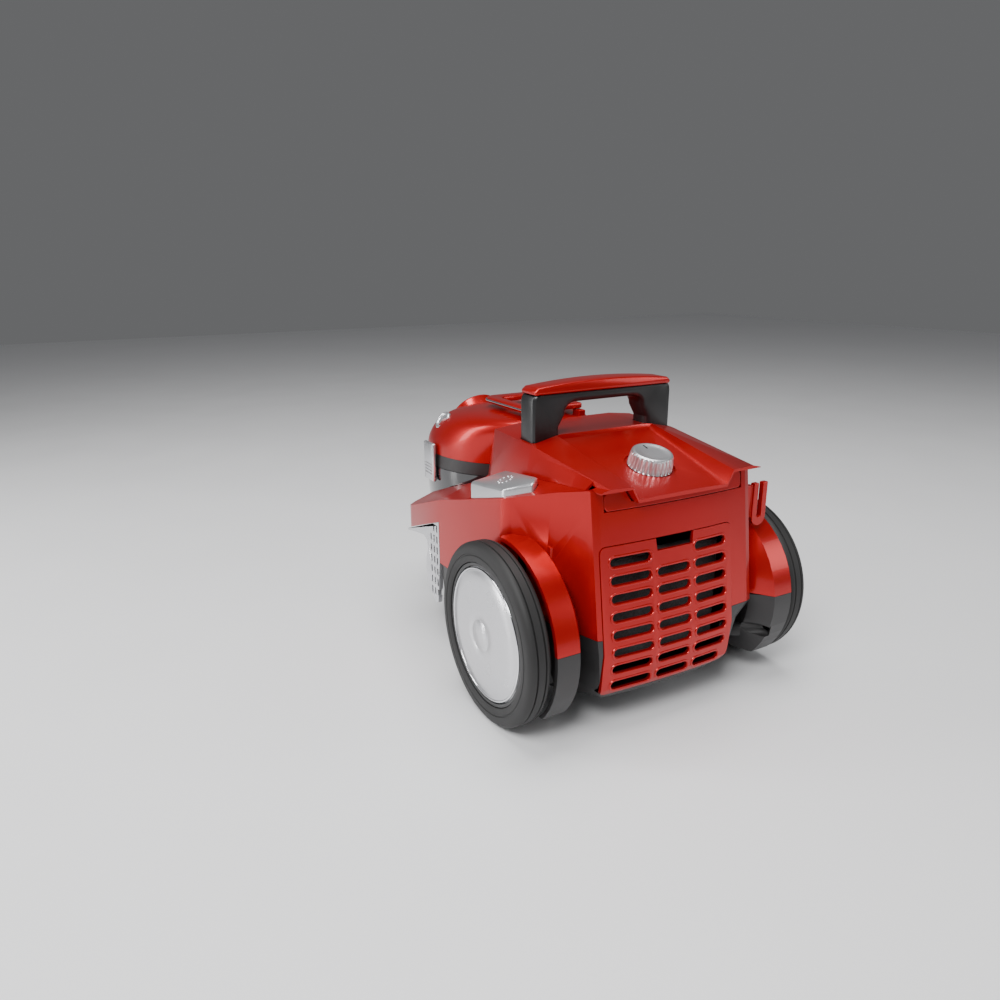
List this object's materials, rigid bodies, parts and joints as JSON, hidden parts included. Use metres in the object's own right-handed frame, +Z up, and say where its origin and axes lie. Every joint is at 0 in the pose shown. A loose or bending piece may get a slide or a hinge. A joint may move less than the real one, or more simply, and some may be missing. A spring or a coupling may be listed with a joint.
{
  "type": "canister vacuum cleaner",
  "caption": "Bagless canister vacuum cleaner with a removable cyclone dust container, carrying handle, power knob, foot pedals, exhaust grille door and large rear wheels.",
  "frame": {"origin": "centre of the bounding box, on the floor", "axes": "+Z up, -Y to the front with the dust container and hose inlet, +Y to the rear with the exhaust grille, +X to the machine's left"},
  "size_m": [0.304, 0.401, 0.278],
  "materials": {
    "red_shell": "glossy red moulded plastic with a fine metallic look",
    "dark_plastic": "dark warm grey satin moulded plastic",
    "black_plastic": "black satin plastic",
    "tyre_rubber": "matte dark grey soft tread",
    "silver_plastic": "silver painted plastic, satin",
    "steel": "ground steel",
    "smoked": "polished smoked black plastic",
    "grey_plastic": "mid grey moulded plastic",
    "foam": "black open foam",
    "copper": "copper winding"
  },
  "bodies": {
    "body": {"base": "dark_plastic", "upper_shell": "red_shell", "top_cover": "red_shell", "rear_trim_panel": "red_shell", "handle_grip": "black_plastic", "handle_strip": "red_shell", "side_trim_left": "silver_plastic", "side_trim_right": "silver_plastic", "parking_clip": "red_shell", "exhaust_filter": "foam", "axle_left": "steel", "axle_right": "steel", "motor_housing": "grey_plastic", "motor_mount": "tyre_rubber", "pre_motor_filter": "foam", "reel_spindle": "steel", "cord_gland": "tyre_rubber", "pedal_spring_left": "steel", "pedal_spring_right": "steel"},
    "wheel_left": {"tyre_left": "tyre_rubber", "rim_left": "black_plastic", "hubcap_left": "silver_plastic"},
    "wheel_right": {"tyre_right": "tyre_rubber", "rim_right": "black_plastic", "hubcap_right": "silver_plastic"},
    "caster": {"caster_fork": "dark_plastic", "caster_axle": "steel"},
    "caster_roller": {"caster_wheel": "tyre_rubber"},
    "motor": {"motor_shaft": "steel", "motor_fan": "silver_plastic", "motor_rotor": "copper"},
    "reel": {"cord_reel": "dark_plastic"},
    "knob": {"power_knob": "silver_plastic", "knob_shaft": "black_plastic"},
    "pedal_power": {"power_pedal": "silver_plastic"},
    "pedal_rewind": {"rewind_pedal": "silver_plastic"},
    "catch": {"docking_catch": "black_plastic"},
    "grille": {"exhaust_grille": "red_shell"},
    "container": {"container_shell": "smoked", "cyclone": "grey_plastic", "lid_frame": "dark_plastic"},
    "lid": {"container_lid": "red_shell", "inlet_collar": "black_plastic"},
    "latch_left": {"lid_latch_left": "silver_plastic"},
    "latch_right": {"lid_latch_right": "silver_plastic"},
    "lid_handle": {"container_handle": "red_shell"}
  },
  "joints": [
    {"name": "wheel_left_roll", "type": "hinge", "parent": "body", "child": "wheel_left", "pos_m": [0.129, 0.12, 0.079], "axis": [1, 0, 0], "continuous": true},
    {"name": "wheel_right_roll", "type": "hinge", "parent": "body", "child": "wheel_right", "pos_m": [-0.129, 0.12, 0.079], "axis": [1, 0, 0], "continuous": true},
    {"name": "caster_swivel", "type": "hinge", "parent": "body", "child": "caster", "pos_m": [0, -0.142, 0.028], "axis": [0, 0, 1], "continuous": true},
    {"name": "caster_roll", "type": "hinge", "parent": "caster", "child": "caster_roller", "pos_m": [0, -0.134, 0.0125], "axis": [1, 0, 0], "continuous": true},
    {"name": "motor_spin", "type": "hinge", "parent": "body", "child": "motor", "pos_m": [0, 0.022, 0.125], "axis": [0, 1, 0], "continuous": true},
    {"name": "reel_spin", "type": "hinge", "parent": "body", "child": "reel", "pos_m": [0, 0.082, 0.027], "axis": [0, 0, 1], "continuous": true},
    {"name": "knob_turn", "type": "hinge", "parent": "body", "child": "knob", "pos_m": [0, 0.145, 0.21164], "axis": [0, 0.2505, 0.9681], "range_deg": [-135, 135]},
    {"name": "power_pedal_press", "type": "slide", "parent": "body", "child": "pedal_power", "axis": [0, 0, -1], "range_m": [0, 0.004], "stiffness_N_per_m": 700, "springref_m": -0.002, "deforming": ["pedal_spring_left"]},
    {"name": "rewind_pedal_press", "type": "slide", "parent": "body", "child": "pedal_rewind", "axis": [0, 0, -1], "range_m": [0, 0.004], "stiffness_N_per_m": 700, "springref_m": -0.002, "deforming": ["pedal_spring_right"]},
    {"name": "catch_press", "type": "slide", "parent": "body", "child": "catch", "axis": [0, 1, 0], "range_m": [0, 0.003], "stiffness_N_per_m": 400, "springref_m": -0.001},
    {"name": "grille_hinge", "type": "hinge", "parent": "body", "child": "grille", "pos_m": [0, 0.1905, 0.039], "axis": [-1, 0, 0], "range_deg": [0, 70]},
    {"name": "container_slide", "type": "slide", "parent": "body", "child": "container", "axis": [0, -1, 0], "range_m": [0, 0.2]},
    {"name": "lid_lift", "type": "slide", "parent": "container", "child": "lid", "axis": [0, 0, 1], "range_m": [0, 0.06]},
    {"name": "latch_left_open", "type": "hinge", "parent": "lid", "child": "latch_left", "pos_m": [0.088, -0.114, 0.19], "axis": [0, -1, 0], "range_deg": [0, 55]},
    {"name": "latch_right_open", "type": "hinge", "parent": "lid", "child": "latch_right", "pos_m": [-0.088, -0.114, 0.19], "axis": [0, 1, 0], "range_deg": [0, 55]},
    {"name": "lid_handle_lift", "type": "hinge", "parent": "lid", "child": "lid_handle", "pos_m": [0, -0.006, 0.2376], "axis": [-1, 0, 0], "range_deg": [0, 80]}
  ]
}
